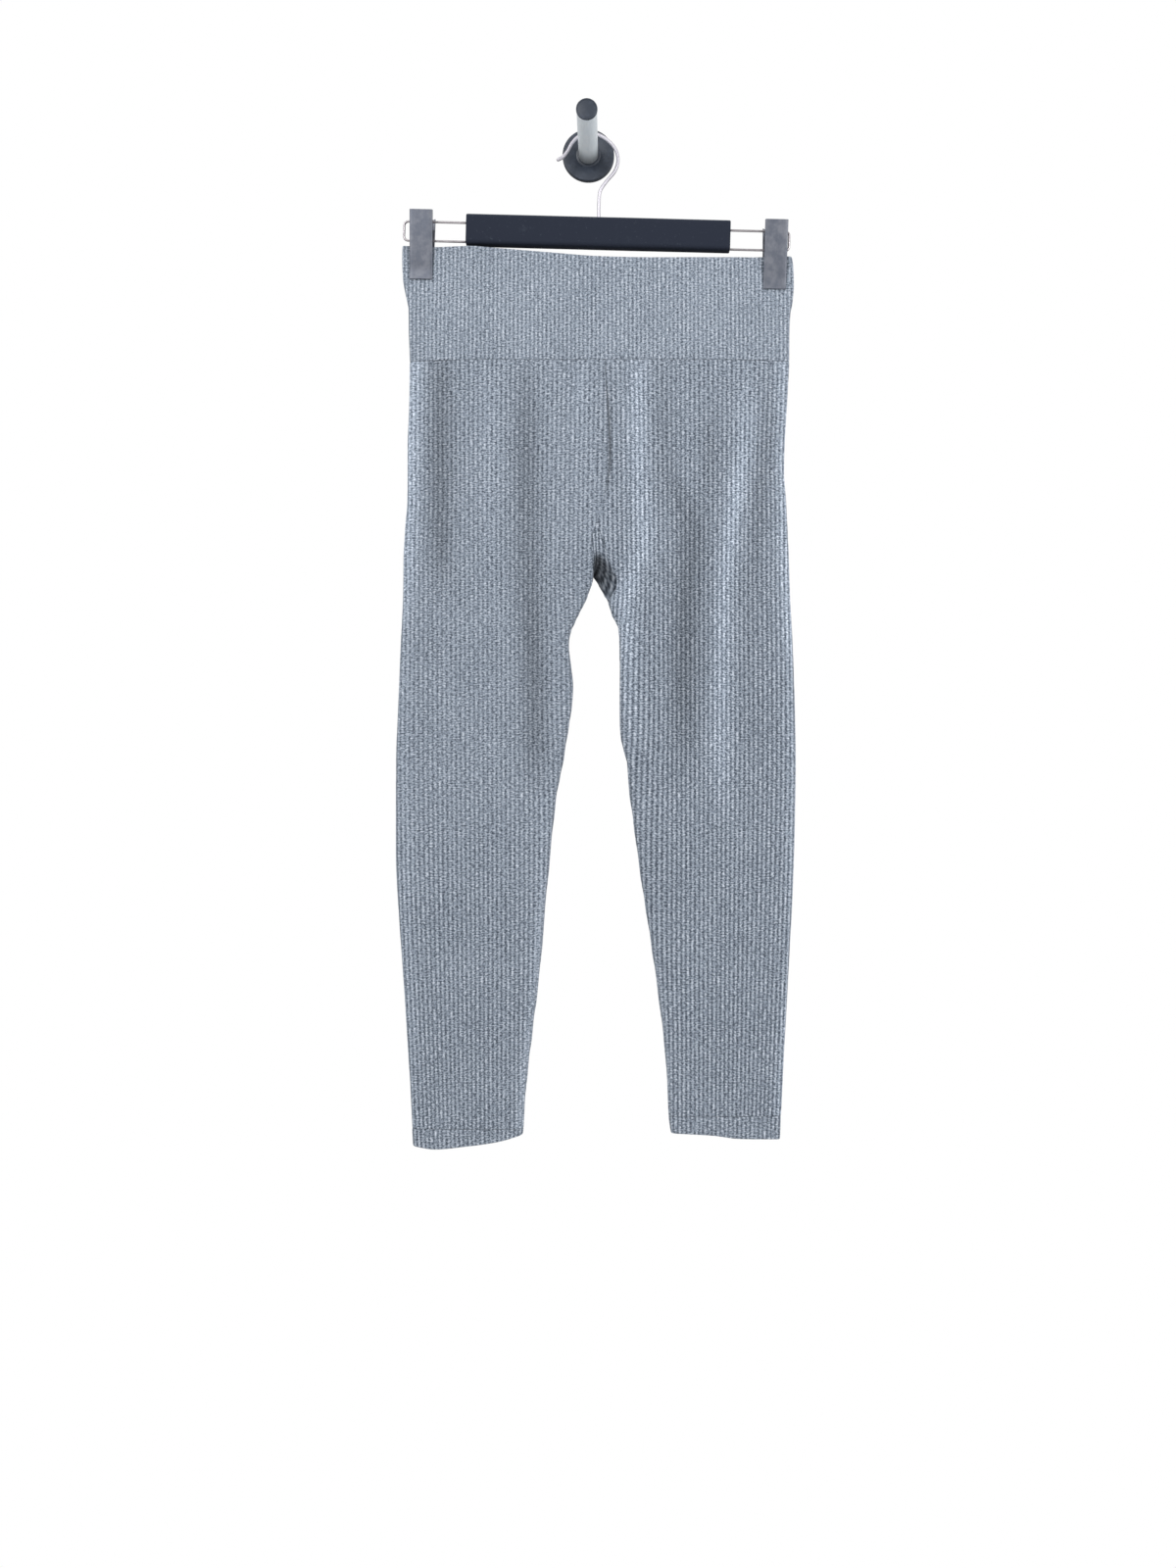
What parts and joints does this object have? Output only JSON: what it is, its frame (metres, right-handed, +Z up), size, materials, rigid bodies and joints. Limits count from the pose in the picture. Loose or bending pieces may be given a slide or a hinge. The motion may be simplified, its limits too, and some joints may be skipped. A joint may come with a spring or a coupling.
{
  "type": "ribbed leggings on a clip hanger and wall peg",
  "caption": "High-waisted ribbed knit leggings held flat by two spring clips on a bar hanger, whose wire hook hangs on a round wall peg.",
  "frame": {"origin": "centre of the wall plate's back face, on the wall", "axes": "+Y into the wall, so the garment's front faces -Y; +Z up; +X to the right of a viewer who faces the front"},
  "size_m": [0.408, 0.0951, 1.0507],
  "materials": {
    "knit": "grey heather rib knit, matt",
    "bar_foam": "dark foam sleeve, matt",
    "clip_steel": "satin pressed steel, lightly worn",
    "wire": "bright plated wire",
    "peg_chrome": "polished",
    "peg_black": "satin black"
  },
  "bodies": {
    "root": {"waistband": "knit", "leg_left": "knit", "leg_right": "knit", "gusset": "knit", "hem_left": "knit", "hem_right": "knit", "hanger_bar": "bar_foam", "wire_left": "wire", "wire_right": "wire", "clip_left_front": "clip_steel", "clip_left_back": "clip_steel", "clip_left_spring": "wire", "clip_right_front": "clip_steel", "clip_right_back": "clip_steel", "clip_right_spring": "wire", "hook": "wire", "peg_plate": "peg_black", "peg_rod": "peg_chrome", "peg_cap": "peg_black"}
  },
  "joints": []
}
